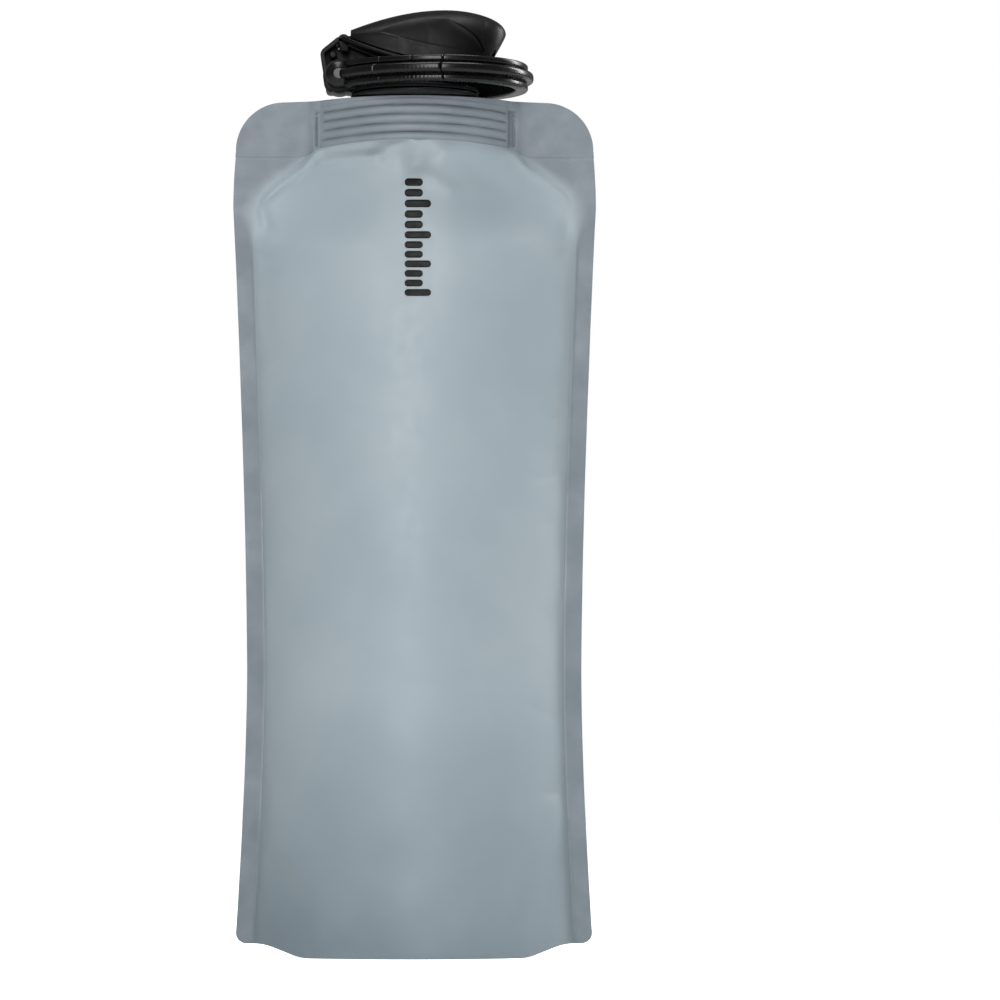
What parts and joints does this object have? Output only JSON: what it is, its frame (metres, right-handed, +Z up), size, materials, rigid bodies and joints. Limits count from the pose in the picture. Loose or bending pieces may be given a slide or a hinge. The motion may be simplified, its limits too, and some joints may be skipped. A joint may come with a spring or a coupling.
{
  "type": "folding water bottle",
  "caption": "Stand-up film water bottle with a bottom gusset, threaded spout, screw cap, flip lid over a drinking nozzle, and a ring carabiner.",
  "frame": {"origin": "on the ground under the middle of the standing pouch, on the cap's axis", "axes": "+Z up the bottle and along the cap's axis, +X across the width towards the lid's nose, +Y to the back"},
  "size_m": [0.1164, 0.0662, 0.3032],
  "materials": {
    "film": "matte, slightly translucent grey-blue laminate film",
    "fitment": "satin black polyethylene",
    "cap": "satin black moulded polypropylene",
    "carabiner": "glossy black moulded nylon",
    "silicone": "soft black silicone",
    "steel": "plain steel wire and pins"
  },
  "bodies": {
    "pouch": {"spout_fitment": "fitment", "gusset_film": "film"},
    "front_wall": {"front_film": "film"},
    "back_wall": {"back_film": "film"},
    "seal": {"cap_seal": "silicone"},
    "cap": {"cap_body": "cap", "mouthpiece": "silicone", "lid_hinge_pin": "steel"},
    "lid": {"lid_shell": "cap", "lid_plug": "silicone"},
    "carabiner": {"carabiner_frame": "carabiner", "gate_pin": "steel", "gate_spring": "steel"},
    "gate": {"carabiner_gate": "carabiner"}
  },
  "joints": [
    {"name": "front_wall_flatten", "type": "slide", "parent": "pouch", "child": "front_wall", "axis": [0, 1, 0], "range_m": [0, 0.03], "deforming": ["front_film"]},
    {"name": "back_wall_flatten", "type": "slide", "parent": "pouch", "child": "back_wall", "axis": [0, 1, 0], "range_m": [-0.03, 0], "deforming": ["back_film"]},
    {"name": "cap_rise", "type": "slide", "parent": "pouch", "child": "seal", "axis": [0, 0, 1], "range_m": [0, 0.006], "stiffness_N_per_m": 2, "springref_m": 0.111},
    {"name": "cap_turn", "type": "hinge", "parent": "seal", "child": "cap", "pos_m": [0, 0, 0.2765], "axis": [0, 0, 1], "range_deg": [0, 540]},
    {"name": "lid_flip", "type": "hinge", "parent": "cap", "child": "lid", "pos_m": [-0.0228, 0, 0.2929], "axis": [0, -1, 0], "range_deg": [0, 110]},
    {"name": "carabiner_swing", "type": "hinge", "parent": "cap", "child": "carabiner", "pos_m": [-0.0243, 0, 0.2815], "axis": [0, -1, 0], "range_deg": [0, 225]},
    {"name": "gate_open", "type": "hinge", "parent": "carabiner", "child": "gate", "pos_m": [-0.01457, -0.01743, 0.2815], "axis": [0, 0, 1], "range_deg": [0, 10], "stiffness_Nm_per_rad": 0.02, "springref_deg": -8.59}
  ],
  "couplings": [
    {"joint": "back_wall_flatten", "follows": "front_wall_flatten", "ratio": -1},
    {"joint": "cap_rise", "follows": "cap_turn", "m_per_rad": 0.00063662}
  ]
}
